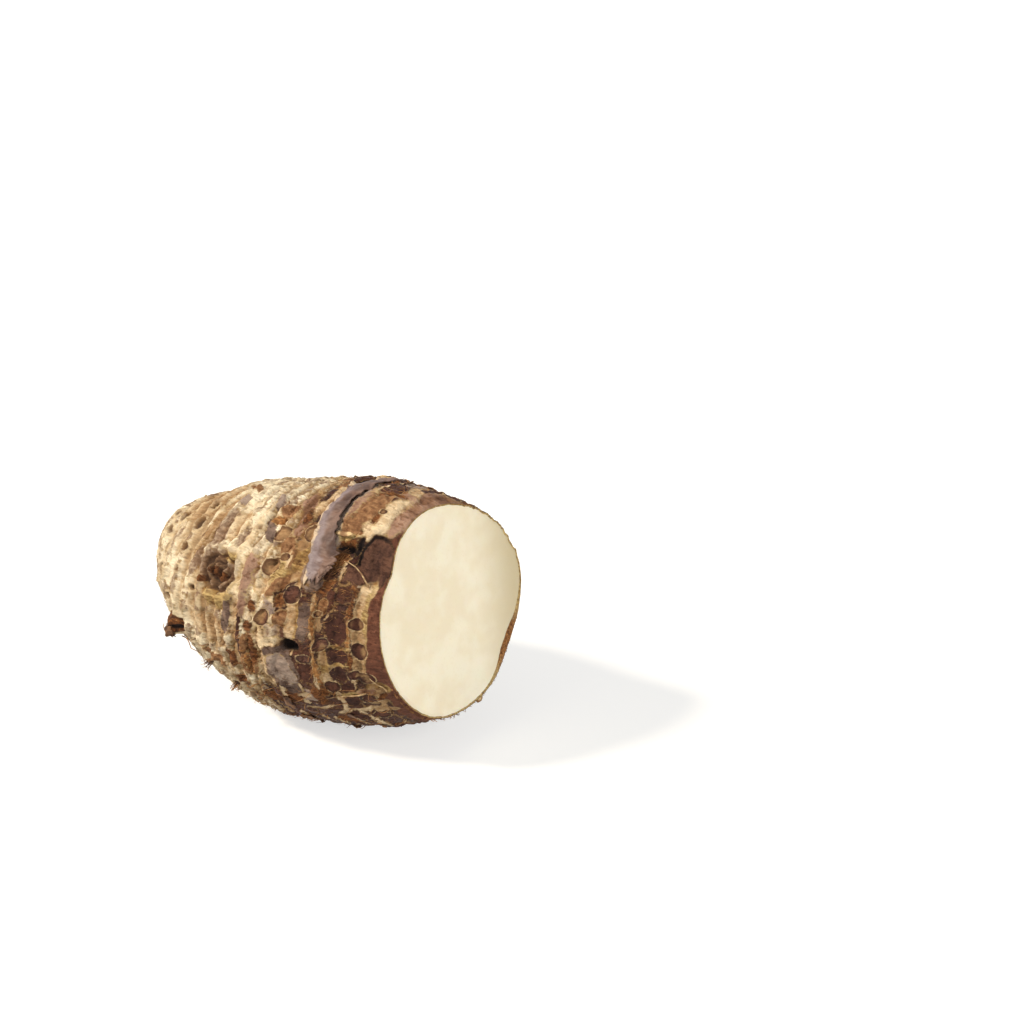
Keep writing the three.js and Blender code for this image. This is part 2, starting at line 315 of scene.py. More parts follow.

# %% [markdown]
# ## Patches painted on the near side
# The near side is what one looks at, so its patches are placed one by one, as a painter would. A patch is an
# ellipse on the skin: its kind, its distance from the cut, its angle, its half length along the corm and its
# half width round it in mm, and how far it is turned. The wandering of the edges above makes it irregular.

# %% The patches
PATCHES = [
    # beside the cut, from the top down
    ("mauve", 10, 84, 4, 9, 0), ("mauve", 8.5, 99, 2.2, 5, 0), ("cream", 16, 88, 2.4, 7.5, 35),
    ("mauve", 15.8, 96, 3.6, 3, 20), ("cream", 12.4, 106, 3.6, 5, 0), ("cream", 12.2, 116, 3.2, 7, 0),
    ("mauve", 9.4, 112, 1.6, 10, 0), ("tan", 22.5, 112, 6.6, 12.5, 0), ("fibre", 20, 97.5, 5.5, 1.6, 15),
    ("fibre", 17.6, 118, 1.0, 7, -10), ("cream", 15.5, 124, 2.0, 5, 35), ("fibre", 20, 153, 8, 3.4, 0),
    ("amber", 22.5, 138, 2.6, 3.6, 0), ("olive", 23.5, 127.5, 4.5, 1.0, 5),
    ("hollow", 10, 136.5, 6.2, 9.4, 0), ("disc", 9.6, 136.5, 5.4, 8.4, 0),
    ("disc", 14.5, 145.5, 4.2, 3.8, 0), ("hollow", 17.2, 131, 1.2, 4, -15),
    ("hollow", 23, 132.5, 5, 1.2, 0), ("cream", 8.4, 149, 2, 2.2, 30),
    # the husk band, the pits in it and the pale line beside it
    ("mauve", 28, 108, 2.4, 9, 0), ("lilac", 33, 104, 5, 14, 0), ("lilac", 30, 128, 4.4, 10, 15),
    ("cream", 40.5, 106, 1.5, 11, 0), ("hollow", 30.5, 96, 0.8, 1.4, 0), ("hollow", 30.5, 102, 0.9, 0.8, 0),
    ("hollow", 32.5, 106, 1.2, 0.6, 40), ("hollow", 40, 83, 4.5, 4, -50), ("slate", 29, 150, 3.6, 5, 20),
    ("lilac", 33, 146, 2.6, 6, 20), ("olive", 37, 140, 2.6, 8, 0), ("cream", 38.5, 133, 2.2, 3, 0),
    ("cream", 37, 148.5, 2, 2.5, 0), ("tan", 38, 126, 4, 3, 0), ("tan", 41, 151, 3.4, 4.6, 0),
    ("olive", 42, 147, 2.4, 2, 0),
    # the maroon strip, the cork behind it and the plates of the dark band
    ("olive", 7.9, 172, 1.4, 20, 0), ("cream", 9.8, 156, 1.4, 6, 0), ("cream", 10, 166, 1.6, 7, 0),
    ("cream", 9.4, 176, 2.1, 4.5, 0), ("cream", 9.2, 189, 2.2, 5, 0), ("cream", 11, 193, 1.5, 2, 0),
    ("fibre", 13, 167, 1.3, 12, 0), ("fibre", 12.6, 188, 1, 5, 0), ("amber", 12.9, 175, 0.6, 7, 0),
    ("plate", 17.5, 157, 4.6, 7, 0), ("plum", 17.4, 172.5, 3.9, 6.2, 0), ("plum", 17, 186, 3.7, 3.4, 0),
    ("plum", 17.2, 195.3, 3.5, 3.4, 0), ("plum", 16.5, 204, 4.2, 2.6, 0), ("olive", 17, 181.2, 4, 0.6, 0),
    ("olive", 17, 190.6, 3.8, 0.6, 0), ("olive", 16, 208.3, 4.4, 0.8, 8), ("tan", 23, 162, 1.8, 4, 0),
    ("cream", 23.4, 170, 1.3, 3, 0), ("olive", 22.8, 190, 1.5, 7, 0), ("cream", 23, 187, 1.0, 3.4, 0),
    ("cream", 22.5, 197.5, 1.5, 2, 0), ("slate", 29.4, 169, 2.8, 7.8, 0), ("plum", 29.5, 194, 3.2, 5.6, 0),
    ("amber", 25.8, 170, 0.7, 10, 0), ("amber", 25.6, 193, 0.7, 8, 5), ("olive", 32.3, 168, 0.8, 7.6, 0),
    ("cream", 34.4, 168, 1.9, 8.4, 0), ("fibre", 38.6, 160, 2.4, 2.6, 0), ("tan", 38.5, 167, 2.4, 3, 0),
    ("earth", 41, 174, 3, 3, 0), ("cream", 43, 179, 5, 1.7, 5), ("slate", 39.4, 191.5, 7, 10.5, 22),
    ("slate", 37.5, 202, 3.6, 5, 25), ("lilac", 38.6, 192.5, 4.6, 8.4, 26),
    ("cream", 46.8, 186, 2.2, 13, 0), ("cream", 45, 200, 2, 3, 0), ("hollow", 34.6, 181.2, 4, 2.7, -12),
    ("cream", 33, 208, 2.6, 1.8, 25),
    # the underside's near edge
    ("olive", 3.5, 204, 2.4, 3, 40), ("cream", 6, 208, 2.6, 1.3, 0), ("mauve", 9.5, 208, 3, 2, 0),
    ("plum", 16, 213, 3.2, 3.2, 0), ("cream", 7, 216, 3.6, 1.1, 0), ("plum", 9.5, 211.6, 2, 1.6, 0),
    ("disc", 22.5, 215, 3.3, 3.2, 0), ("cream", 19.4, 215, 1, 4, 0), ("cream", 17, 221, 8, 1.2, 10),
    ("plum", 9, 225, 3.4, 3.4, 0), ("plum", 18, 227, 5, 3, 0), ("cream", 13.6, 226, 1.2, 4, 20),
    ("cream", 6, 222, 4, 1.2, 0), ("fibre", 27, 208, 2, 6, 10), ("fibre", 47, 212, 6, 4, 0),
    ("plate", 40, 218, 8, 4, 0), ("plate", 30, 222, 6, 4, 0), ("cream", 29, 217.5, 6, 0.9, 10),
    # the middle
    ("tan", 44, 93, 3, 4, 20), ("mauve", 47, 112, 3, 9.5, 30), ("mauve", 43.5, 125, 2.2, 4, 20),
    ("fibre", 43, 119, 1.4, 4, 20), ("tan", 53, 116, 3.4, 3.4, 30), ("lilac", 63, 110, 1.7, 8, 38),
    ("slate", 56.5, 127, 2.6, 6.5, 40), ("amber", 55, 122, 2.6, 1.4, 20), ("earth", 49, 130, 3, 3, 0),
    ("tan", 44, 134, 3, 4, 0), ("olive", 44, 146, 2, 5, 0), ("tan", 43, 156, 2, 3, 0),
    ("cream", 51.5, 138, 1.6, 2.4, 0), ("cream", 48.5, 154, 3.4, 2.6, 0), ("earth", 56, 149, 4, 8.4, 0),
    ("mauve", 57, 145, 3.4, 4.2, 0), ("mauve", 56, 153, 2.4, 4, 0), ("fibre", 51, 162.5, 1.8, 2.2, 0),
    ("mauve", 56.4, 164, 2.6, 5, 0), ("plum", 57.4, 172, 2, 6, 0), ("fibre", 52, 172, 2.4, 2.6, 0),
    ("tan", 52.5, 187, 4.6, 11, 0), ("fibre", 50.6, 184, 2.2, 8, 0), ("amber", 53, 192, 1.6, 6, 10),
    ("plum", 57.6, 182, 1.8, 7.5, 0), ("cream", 60.8, 166, 1.1, 21, 0), ("slate", 66, 173, 2.8, 8.5, -12),
    ("slate", 63.5, 162.5, 2.4, 1.8, 0), ("fibre", 64, 192, 3.5, 5, 0), ("earth", 68, 133, 3, 4.4, 0),
    ("cream", 63.6, 131, 1.8, 6, 0), ("cream", 75, 127, 5, 6, 0), ("tan", 88, 98, 7, 1.4, -20),
    # round the great bud scar, and the old end
    ("olive", 73, 163, 11, 6, 8), ("olive", 64, 154, 3, 4, 0), ("earth", 75.5, 151, 14, 9, 0),
    ("olive", 70, 143.5, 6, 1.8, 0), ("fibre", 77, 153.5, 9, 3.0, -4), ("fibre", 87, 158.5, 3, 1.6, 0),
    ("earth", 93, 148, 3, 6, 0), ("earth", 86, 129, 6, 8.4, 0), ("lilac", 85, 111, 5, 2.2, 0),
    ("cream", 93.4, 122, 1.3, 14, -10), ("cream", 78, 182, 12, 7, 0), ("cream", 110, 104, 14, 9, 0),
    ("fibre", 62, 204, 6, 3, 0), ("tan", 78, 200, 9, 2.4, 0), ("slate", 65.5, 172, 3, 8.5, -12),
    ("fibre", 104, 194, 6.5, 4.6, 0), ("hollow", 102, 195.5, 2.6, 1.4, 10),
]

# %% Lay the patches
def reach_of(centre_at, centre_angle, half_along, half_around, turn=0.0, power=2.2, wander=0.7):
    """How far each point is from the middle of an ellipse on the skin: 1 on its edge."""
    centre_radius = radius_at(np.array(float(centre_at)), np.array(float(centre_angle)))
    dx = at + wander * wander_along - centre_at
    dy = np.radians(turn_between(angle, centre_angle)) * centre_radius + wander * wander_around
    cos, sin = math.cos(math.radians(turn)), math.sin(math.radians(turn))
    u = np.abs(dx * cos + dy * sin) / half_along
    v = np.abs(dy * cos - dx * sin) / half_around
    return (u**power + v**power) ** (1 / power)


PATCH_EDGE = 0.6  # how far a patch fades each way, in mm, which its torn edge then cuts up
SOFT_EDGES = {  # the kinds that fade further
    "cream": 1.4, "fibre": 1.1, "mauve": 1.8, "earth": 2.4, "lilac": 1.2, "olive": 1.4,
}
for kind, *ellipse in PATCHES:
    soft = min(SOFT_EDGES.get(kind, PATCH_EDGE) / min(ellipse[2:4]), 0.8)
    paint(kind, 1 - smooth(reach_of(*ellipse), 1 - soft, 1 + soft))
print("patches:", len(PATCHES))

# %% [markdown]
# ## Root scars
# Each root that fell off left a round scar: a dark disc with a pale rim and a small pit in its middle. A
# scar's field is the distance inside its edge in mm, so the material can draw a rim thinner than the mesh.
# On the old end they have worn to soft pits, a little oval and deeper. Those on the near side are listed,
# and the others placed by chance where no scar lies yet.

# %% The scars
SCARS = [  # distance from the cut, angle, radius
    (10, 168.5, 2.5), (8.9, 182, 3.2), (7.6, 198, 3), (11.9, 196, 2.4), (22.8, 180, 2.9), (21, 202.5, 2.8),
    (34.7, 157, 3.5), (45.6, 167.5, 3.5), (47, 144.5, 3.6), (37, 127, 3.2), (24, 165, 1.6), (29, 186.5, 2.4),
    (9.5, 213, 2.6), (9.5, 227, 3), (15.6, 111.5, 1.3), (49.6, 128.5, 3.3), (43, 140, 1.8), (58, 112, 1.6),
]
PITS = [  # the same on the old end, where the scars have sunk
    (104, 127, 3.0), (104, 112, 2.0), (117, 111, 1.8), (119, 122, 2.4), (104, 144, 2.3), (117, 149, 2.5),
    (104, 158, 1.5), (117, 166, 3.3), (127, 150, 1.8), (122, 136, 1.8), (92, 165, 1.6), (97, 178, 1.8),
    (129, 118, 1.6), (96, 112, 1.6), (110, 180, 1.8), (125, 180, 1.8), (74.3, 110, 1.3), (64.6, 116, 1.0),
    (79.3, 122, 1.2), (62, 127, 1.0),
]

# %% More scars by chance
dice = random.Random(11)


def apart(spot, others, gap):
    r = float(radius_at(np.array(spot[0]), np.array(spot[1])))
    return all(
        math.hypot(spot[0] - o[0], math.radians(turn_between(spot[1], o[1])) * r) > spot[2] + o[2] + gap
        for o in others
    )


def more_by_chance(spots, tries, ats, sizes, gap):
    for _ in range(tries):
        spot = (dice.uniform(*ats), dice.uniform(238, 430) % 360, dice.uniform(*sizes))
        if apart(spot, spots, gap):
            spots.append(spot)


more_by_chance(SCARS, 300, (9, 60), (1.9, 3.4), 3.5)
more_by_chance(PITS, 60, (66, 138), (1.0, 2.4), 5)

# %% Press the scars in
scar = np.full(len(row), -6.0)
pit = np.full(len(row), -6.0)
scar_height = np.zeros(len(row))
for spots, field in ((SCARS, scar), (PITS, pit)):
    for centre_at, centre_angle, size in spots:
        depth = float(np.interp(centre_at, (30, 45, 90), (0.2, 0.75, 1.6)))
        on_near_side = 100 < centre_angle < 210
        depth *= dice.uniform(0.7, 1.0) if on_near_side else dice.uniform(0.4, 0.8)
        long = dice.uniform(0.85, 1.2)
        reach = reach_of(centre_at, centre_angle, long, 1 / long, dice.uniform(0, 90), power=2, wander=0.35)
        np.maximum(field, size - reach, out=field)
        rim = 0.7 * depth**0.5 * bell((reach - size) / 0.6)
        floor = -depth * smooth(size - reach, 0, 0.9) + 0.25 * smooth(1 - reach / size, 0.1, 0.8)
        scar_height += rim + floor - 0.3 * bell(reach / 0.7)
print("scars:", len(SCARS), "pits:", len(PITS))

# %% [markdown]
# ## Raising the skin
# All of this is one height in mm for each point, laid along the body's normal. The largest forms are the same
# as in the CAD: the rings, the great bud scar with its ridges, the side bud by the cut, the torn pocket, the
# rot hole and the stub of an old root. Over them come the soft ribs of the old skin, plates that stand proud,
# torn strands, and the creases of bark that dried and shrank. The middle of the corm is the most weathered.

# %% Large forms
SWELL_HEIGHT, SWELL_LENGTH, SWELL_TURNS = 0.6, 60, 3
swell = SWELL_HEIGHT * np.sin(2 * math.pi * at / SWELL_LENGTH + np.radians(SWELL_TURNS * angle))
height = (ring_height + swell) * closing(at)


def crater(reach, depth, rim=0.0):
    return rim * bell((reach - 1.3) / 0.3) - depth * np.exp(-(reach**4))


BUD_SHELLS = 2.8  # the bud's dead leaves, one inside the other
GREAT_BUD = (75.5, 152, 12.5, 8.4)  # distance from the cut, angle, half length and half width
bud_reach = reach_of(*GREAT_BUD, power=2)
bud_reach += 0.12 * grain(4, 20)
bud_ridges = 0.75 * np.cos(2 * math.pi * bud_reach * BUD_SHELLS) * smooth(1.25 - bud_reach, 0, 0.3)
height += crater(bud_reach, 1.9, 1.1) + bud_ridges
CRATERS = [  # distance from the cut, angle, half length, half width, depth and the height of the rim
    (10.4, 136.5, 6, 8.4, 1.3, 0.5),  # the side bud by the cut
    (20, 134, 4.5, 4, 2.0, 0.0),  # the torn pocket
    (35, 181.2, 4, 3, 2.8, 0.0),  # the rot hole
    (105, 197, 5.5, 5, -3.4, 0.0),  # the stub of an old root, which stands up
]
for *ellipse, depth, rim in CRATERS:
    height += crater(reach_of(*ellipse), depth, rim)

# %% Ribs, creases, plates and torn strands
STRANDS_LIE = np.array([0.22, 1, 1])  # squeezes a pattern along the corm, so that it is drawn out when seen
RIB_HEIGHT, ROUGHER_RIB, RIBS_SINK = 1.75, 0.5, 0.7
CREASE_DEPTH, CREASE_WIDTH = 1.1, 0.16
roughest = smooth(at, 34, 46) * (1 - smooth(at, 66, 90))  # 1 in the weathered middle
ribs_rise = old * (RIB_HEIGHT * rib + ROUGHER_RIB * roughest * rib - RIBS_SINK)
ribs_rise *= (0.75 + 0.5 * grain(12, 25)) * closing(at)
crease = 1 - smooth(np.abs(grain(6, 26, 3)), 0.0, CREASE_WIDTH)
crease *= (0.4 + 0.3 * roughest) * (1 - fresh)
plates_rise = 0.55 * smooth(to_crack, 0.3, 1.6) * (0.6 + 0.8 * chance(band, plate % PLATES_AROUND, 4))
lumps, crumbs = grain(3.2, 21, 3), grain(1.3, 22, 2)
strands = 0.5 - np.abs(grain(1.0, 24, 2, points=smooth_skin * STRANDS_LIE / 2.4))
height += ribs_rise + mask["plate"] * plates_rise
height += 0.35 * mask["lilac"] - 1.6 * mask["hollow"] - 0.25 * mask["cream"]
torn_skin = mask["fibre"] + mask["amber"] + mask["tan"] + 0.4 * mask["olive"]
height += 0.3 * mask["tan"] + (0.3 + 0.45 * torn_skin + 0.1 * old) * lumps
height += (0.12 + 0.2 * torn_skin) * crumbs + (0.25 + 0.5 * torn_skin - 0.1 * old) * strands
height += roughest * (0.2 * lumps + 0.1 * crumbs + 0.35 * strands) - CREASE_DEPTH * crease
height *= 1 - fresh * 0.5
height += scar_height
height *= smooth(radius, 0, 5)

# %% Lift the points and trim them to the cut
cut_normal = np.array([math.cos(CUT_TILT), 0, math.sin(CUT_TILT)])
MIDDLE_SIDE, MIDDLE_HEIGHT = 6, 54
lean = (MIDDLE_HEIGHT - CUT_HEIGHT) * math.tan(CUT_TILT)
cut_middle = np.array([-lean, MIDDLE_SIDE, MIDDLE_HEIGHT]) + SHIFT
cut_offset = cut_middle @ cut_normal
points = smooth_skin + outwards * height[:, None]
edge = np.abs(row) < 0.5
points[edge, 0] = (cut_offset - points[edge, 2] * cut_normal[2]) / cut_normal[0]
print("relief in mm, from", round(height.min(), 2), "to", round(height.max(), 2))

# %% [markdown]
# ## The cut face
# The knife left one flat face. Its rows run from the edge of the skin in to the middle. The first three show
# the skin itself, thin all round but corky and thick low on the far side. The flesh inside them is flat but
# for the faint waves of the knife.

# %% Lay the face's rows in the plane of the cut
edge_points = points[edge][np.argsort(angle[edge])]
edge_angles = np.sort(angle[edge])
column = np.clip(np.searchsorted(edge_angles, angle - 0.01), 0, len(edge_angles) - 1)
rim_point = edge_points[column]
to_rim = rim_point - cut_middle
rim_distance = np.linalg.norm(to_rim, axis=1)
THIN_RIND, RIND_GROWS = 0.45, 3  # mm, and mm more where it is thickest
THICKEST_AT, THICK_SPREAD = 322, 24  # degrees
thick_rind = bell(turn_between(angle, THICKEST_AT) / THICK_SPREAD)
rind = THIN_RIND + RIND_GROWS * thick_rind + 0.15 * grain(4, 30, points=rim_point)
inset = np.select(
    [row > -1.5, row > -2.5, row > -3.5],
    [0.3, 0.3 + rind / 2, 0.3 + rind],
    0.3 + rind + (rim_distance - 0.3 - rind) * (-row - 3) / (FACE_ROWS - 3),
)
in_plane = cut_middle + to_rim * (1 - inset / rim_distance)[:, None]
waves = 0.12 * grain(14, 31, points=in_plane) + 0.03 * grain(2.5, 32, points=in_plane)
proud = np.select([row > -1.5, row > -2.5, row > -3.5], [0.12, 0.2, -0.12], waves)
face_points = in_plane + cut_normal * proud[:, None]
points = np.where(on_face[:, None], face_points, points)

points[:, 2] = np.maximum(points[:, 2], 0)  # the table presses it flat
corm_mesh.vertices.foreach_set("co", (points * MM).ravel())
corm_mesh.update()

# %% [markdown]
# ## Hand the fields to the material
# A vertex attribute is the way from geometry to shader: each mask becomes one, with the distances to a crack
# and to a scar's edge, and the height, which tells where shade is painted in the hollows and highlight on the
# crests. On the face no skin shows but its cut edge, the rind: olive where it is thin, and amber cork where
# it is thick.

# %% Attributes
on_rind = {"olive": 1 - thick_rind, "amber": thick_rind}
for kind in KINDS:
    mask[kind] = np.where(on_face, on_rind.get(kind, 0.0), mask[kind])
tone = chance(band, plate % PLATES_AROUND, 5)
fields = {
    **mask, "crack": to_crack, "scar": scar, "pit": pit, "height": height, "tone": tone, "bud": bud_reach,
    "crease": crease,
}
for name, values in fields.items():
    layer = corm_mesh.attributes.new(name, "FLOAT", "POINT")
    layer.data.foreach_set("value", values.astype(np.float32))
corm = bpy.data.objects.new("corm_skin_and_flesh", corm_mesh)
bpy.context.scene.collection.objects.link(corm)
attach(corm, "root")
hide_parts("corm")

# %% [markdown]
# ## Two helpers for every material
# Colours are written as sRGB hex values, as one reads them off a paint card, and Blender wants them linear.
# A node is added together with its settings and its inputs, where an input is a value or another node's
# output, so that a material reads from top to bottom.

# %% Colour and node helpers
def linear(colour):
    channels = [int(colour[i:i + 2], 16) / 255 for i in (1, 3, 5)]
    return tuple(c / 12.92 if c <= 0.04045 else ((c + 0.055) / 1.055) ** 2.4 for c in channels) + (1.0,)


def node(tree, kind, inputs=None, **settings):
    made = tree.nodes.new(kind)
    for name, value in settings.items():
        setattr(made, name, value)
    for name, value in (inputs or {}).items():
        if isinstance(value, bpy.types.NodeSocket):
            tree.links.new(value, made.inputs[name])
        else:
            made.inputs[name].default_value = value
    return made


def new_material(name):
    material = bpy.data.materials.new(name)
    material.use_nodes = True
    material.node_tree.nodes.clear()
    return material, material.node_tree


# %% [markdown]
# ## Taro bark
# The skin is dry, dead cork and fibre: nearly matt, so its look comes from colour and from small shadows.
# Each kind of skin is laid over the last through its mask. Noise is added to a mask before it is cut off at
# one half, which tears its edge finer than the mesh could. Pale fibres show as noise drawn out along the
# corm. Shade is painted into the hollows and creases, and highlight onto the crests of the dusty skin.

# %% Bark: noises at their real sizes
bark, tree = new_material("taro_bark")
place_on_corm = node(tree, "ShaderNodeTexCoord").outputs["Object"]
drawn_out = node(tree, "ShaderNodeMapping", {"Vector": place_on_corm, "Scale": (0.18, 1, 1)}).outputs[0]
NOISES = {  # size in mm, detail, and whether it is drawn out along the corm
    "speck": (0.5, 2, False), "crumb": (1.5, 4, False), "blotch": (4, 3, False), "cloud": (9, 3, False),
    "hair": (0.45, 2, True), "fibre": (0.9, 4, True), "streak": (2.2, 4, True),
}
noises = {}
for name, (size, detail, drawn) in NOISES.items():
    vector = drawn_out if drawn else place_on_corm
    made = node(tree, "ShaderNodeTexNoise", {"Vector": vector, "Scale": 1 / (size * MM), "Detail": detail})
    spread = node(tree, "ShaderNodeMapRange", {"Value": made.outputs[0], 1: 0.3, 2: 0.7})
    noises[name] = spread.outputs[0]


# %% Bark: helpers on this tree
def ramp(value, low, high, to_low=0.0, to_high=1.0):
    """A smooth step of a field, on the material's own tree."""
    return node(
        tree, "ShaderNodeMapRange", {"Value": value, 1: low, 2: high, 3: to_low, 4: to_high},
        interpolation_type="SMOOTHSTEP",
    ).outputs[0]


def blend(amount, under, over, way="MIX"):
    return node(
        tree, "ShaderNodeMix", {0: amount, 6: under, 7: over}, data_type="RGBA", blend_type=way
    ).outputs[2]


def times(a, b):
    return node(tree, "ShaderNodeMath", {0: a, 1: b}, operation="MULTIPLY").outputs[0]


def times_plus(a, b, c):
    return node(tree, "ShaderNodeMath", {0: a, 1: b, 2: c}, operation="MULTIPLY_ADD").outputs[0]


def plus(a, b):
    return node(tree, "ShaderNodeMath", {0: a, 1: b}).outputs[0]


def near(value, middle, reach):
    """1 where a field is at its middle value, falling to 0 at the reach on either side."""
    gap = node(tree, "ShaderNodeMath", {0: value, 1: middle}, operation="SUBTRACT").outputs[0]
    return ramp(node(tree, "ShaderNodeMath", {0: gap}, operation="ABSOLUTE").outputs[0], 0, reach, 1, 0)


torn = times_plus(noises["crumb"], 0.4, times(noises["fibre"], 0.6))
torn = node(tree, "ShaderNodeMath", {0: torn, 1: 0.5}, operation="SUBTRACT").outputs[0]


def shifted(field, by):
    """A field with torn noise added, as much as its own units say."""
    return times_plus(torn, by, fields_of[field])


# %% Bark: one kind of skin over another
LAYERS = [  # kind, darker colour, lighter colour, the noise between them, how torn the edge is
    ("plate", "#2A1109", "#59301F", "streak", 0.8),
    ("fibre", "#44220F", "#8E5A30", "fibre", 1.0),
    ("slate", "#4E3A33", "#8A7466", "cloud", 0.7),
    ("plum", "#2D150F", "#5A3629", "cloud", 0.5),
    ("amber", "#6A3F20", "#B5834E", "fibre", 1.2),
    ("tan", "#68432A", "#A87F58", "crumb", 0.9),
    ("lilac", "#7C675B", "#B3A193", "cloud", 0.9),
    ("earth", "#765E4B", "#AE967E", "crumb", 0.9),
    ("straw", "#C8B28E", "#FBF2D8", "cloud", 0.7),
    ("olive", "#86683C", "#D4BA80", "fibre", 0.9),
    ("cream", "#BA9C76", "#ECD8B4", "streak", 0.45),
    ("mauve", "#7F5D4A", "#B6957F", "cloud", 0.8),
    ("maroon", "#4F2B1E", "#83543F", "streak", 0.4),
    ("disc", "#38211A", "#76513F", "blotch", 0.3),
    # painted shade: near black in the holes and gaps sunk into the skin
    ("hollow", "#120906", "#2C1812", "crumb", 0.4),
]
PALE_KINDS = ["amber", "tan", "lilac", "earth", "straw", "olive", "cream", "mauve"]
fields_of = {}
for name in fields:
    fields_of[name] = node(tree, "ShaderNodeAttribute", attribute_name=name).outputs["Fac"]
pale_skin = 0.0
for kind in PALE_KINDS:
    pale_skin = plus(pale_skin, fields_of[kind])
pale_skin = ramp(pale_skin, 0.3, 0.7)
colour = blend(noises["crumb"], linear("#432A1E"), linear("#7C5A3F"))
colour = blend(pale_skin, colour, blend(noises["crumb"], linear("#A5875C"), linear("#DDC393")))
edges = 0.0
for kind, dark, light, noise_name, tear in LAYERS:
    torn_mask = shifted(kind, tear)
    mixed = noises[noise_name]
    if kind == "plate":
        mixed = times(plus(fields_of["tone"], mixed), 0.5)
        edges = near(torn_mask, 0.45, 0.3)
    if kind == "plum":
        edges = plus(edges, near(torn_mask, 0.3, 0.25))
    colour = blend(ramp(torn_mask, 0.25, 0.75), colour, blend(mixed, linear(dark), linear(light)))

# %% Bark: frayed lines, specks, painted shade and highlight, and cracks
dark_skin = ramp(plus(fields_of["plate"], fields_of["fibre"]), 0.3, 0.7)
edges = times(edges, ramp(plus(fields_of["plate"], fields_of["plum"]), 0.1, 0.4))
frayed = times(edges, ramp(noises["crumb"], 0.35, 0.8))
colour = blend(times(frayed, 0.55), colour, linear("#B9935F"))
hairs = times(near(noises["hair"], 0.5, 0.16), ramp(noises["blotch"], 0.4, 0.75))
colour = blend(times(times(hairs, dark_skin), 0.28), colour, linear("#AB7440"))
flecks = times(ramp(noises["streak"], 0.58, 0.8), ramp(noises["crumb"], 0.3, 0.65))
flecks_show = times(flecks, ramp(fields_of["straw"], 0.3, 0.8, 0.6, 0.4))
colour = blend(flecks_show, colour, linear("#96714E"), "MULTIPLY")
# Painted shade: the pale skin is darkened where it lies low.
valley_shade = times(ramp(plus(fields_of["height"], times(noises["crumb"], 0.6)), -0.5, 0.8, 1, 0), pale_skin)
colour = blend(times(valley_shade, 0.75), colour, linear("#BE9E76"), "MULTIPLY")
# Painted shade: the colour is darkened along the creases.
crease_shade = ramp(shifted("crease", 0.5), 0.25, 0.9)
colour = blend(times(crease_shade, 0.75), colour, linear("#765235"), "MULTIPLY")
# Painted highlight: the crests of the dusty skin are lightened where they stand high.
dusty = ramp(plus(fields_of["straw"], plus(fields_of["earth"], fields_of["cream"])), 0.3, 0.8)
crest_highlight = times(ramp(plus(fields_of["height"], times(noises["crumb"], 0.8)), 0.8, 2.2), dusty)
colour = blend(times(crest_highlight, 0.4), colour, linear("#F8EBCB"))
specks = times(times(ramp(noises["speck"], 0.7, 1.0), ramp(noises["cloud"], 0.35, 0.8)), pale_skin)
colour = blend(times(specks, 0.6), colour, linear("#7A573A"))
crack_line = times(ramp(shifted("crack", 0.7), 0.1, 0.65, 1, 0), ramp(fields_of["plate"], 0.3, 0.7))
pale_crack = times(crack_line, ramp(noises["blotch"], 0.4, 0.7))
colour = blend(times(crack_line, 0.7), colour, linear("#321C13"))
colour = blend(times(pale_crack, 0.8), colour, linear("#A98455"))

# %% Bark: scars and pits
scar_edge = shifted("scar", 0.15)
scar_disc = ramp(scar_edge, -0.15, 0.15)
# Painted shade: a scar's disc is darkest just inside its rim and lighter towards its middle, and so is an old
# scar's.
scar_tone = blend(ramp(fields_of["scar"], 0.2, 1.8), linear("#3B2118"), linear("#694233"))
scar_tone = blend(times(noises["crumb"], 0.6), scar_tone, linear("#4C2C1E"))
old_scar = blend(ramp(fields_of["scar"], 0.2, 1.5), linear("#634530"), linear("#AF8B62"))
old_scar = blend(times(noises["crumb"], 0.5), old_scar, linear("#6E4B30"))
old_skin = plus(plus(fields_of["straw"], fields_of["earth"]), plus(fields_of["olive"], fields_of["tan"]))
scar_tone = blend(ramp(old_skin, 0.1, 0.5), scar_tone, old_scar)
colour = blend(scar_disc, colour, scar_tone)
scar_rim = times(near(plus(scar_edge, 0.12), 0.0, 0.4), ramp(noises["crumb"], 0.2, 0.7))
colour = blend(times(scar_rim, 0.8), colour, linear("#D2B588"))
pit_edge = shifted("pit", 1.2)
colour = blend(times(ramp(pit_edge, -1.6, 0.6), 0.7), colour, linear("#83623F"))
colour = blend(times(ramp(pit_edge, 0.0, 1.6), 0.8), colour, linear("#4A3222"))
pit_rim = times(near(plus(pit_edge, 0.5), 0.0, 0.8), ramp(noises["blotch"], 0.2, 0.6))
colour = blend(times(pit_rim, 0.6), colour, linear("#E9D2A8"))
shells = times(fields_of["bud"], 2 * math.pi * BUD_SHELLS)
bud_wave = node(tree, "ShaderNodeMath", {0: shells}, operation="COSINE").outputs[0]
bud_gap = times(ramp(bud_wave, -0.9, 0.1, 1, 0), ramp(fields_of["bud"], 1.05, 1.3, 1, 0))
colour = blend(times(bud_gap, 0.7), colour, linear("#4A2E1B"))

# %% Bark: shade in the hollows
shade = ramp(fields_of["height"], -2.4, 0.1, 0.5, 1.0)
shade = times(shade, ramp(noises["fibre"], 0.0, 0.7, 0.78, 1.04))
shade_colour = node(tree, "ShaderNodeCombineColor", {0: shade, 1: shade, 2: shade}).outputs[0]
colour = blend(1.0, colour, shade_colour, "MULTIPLY")

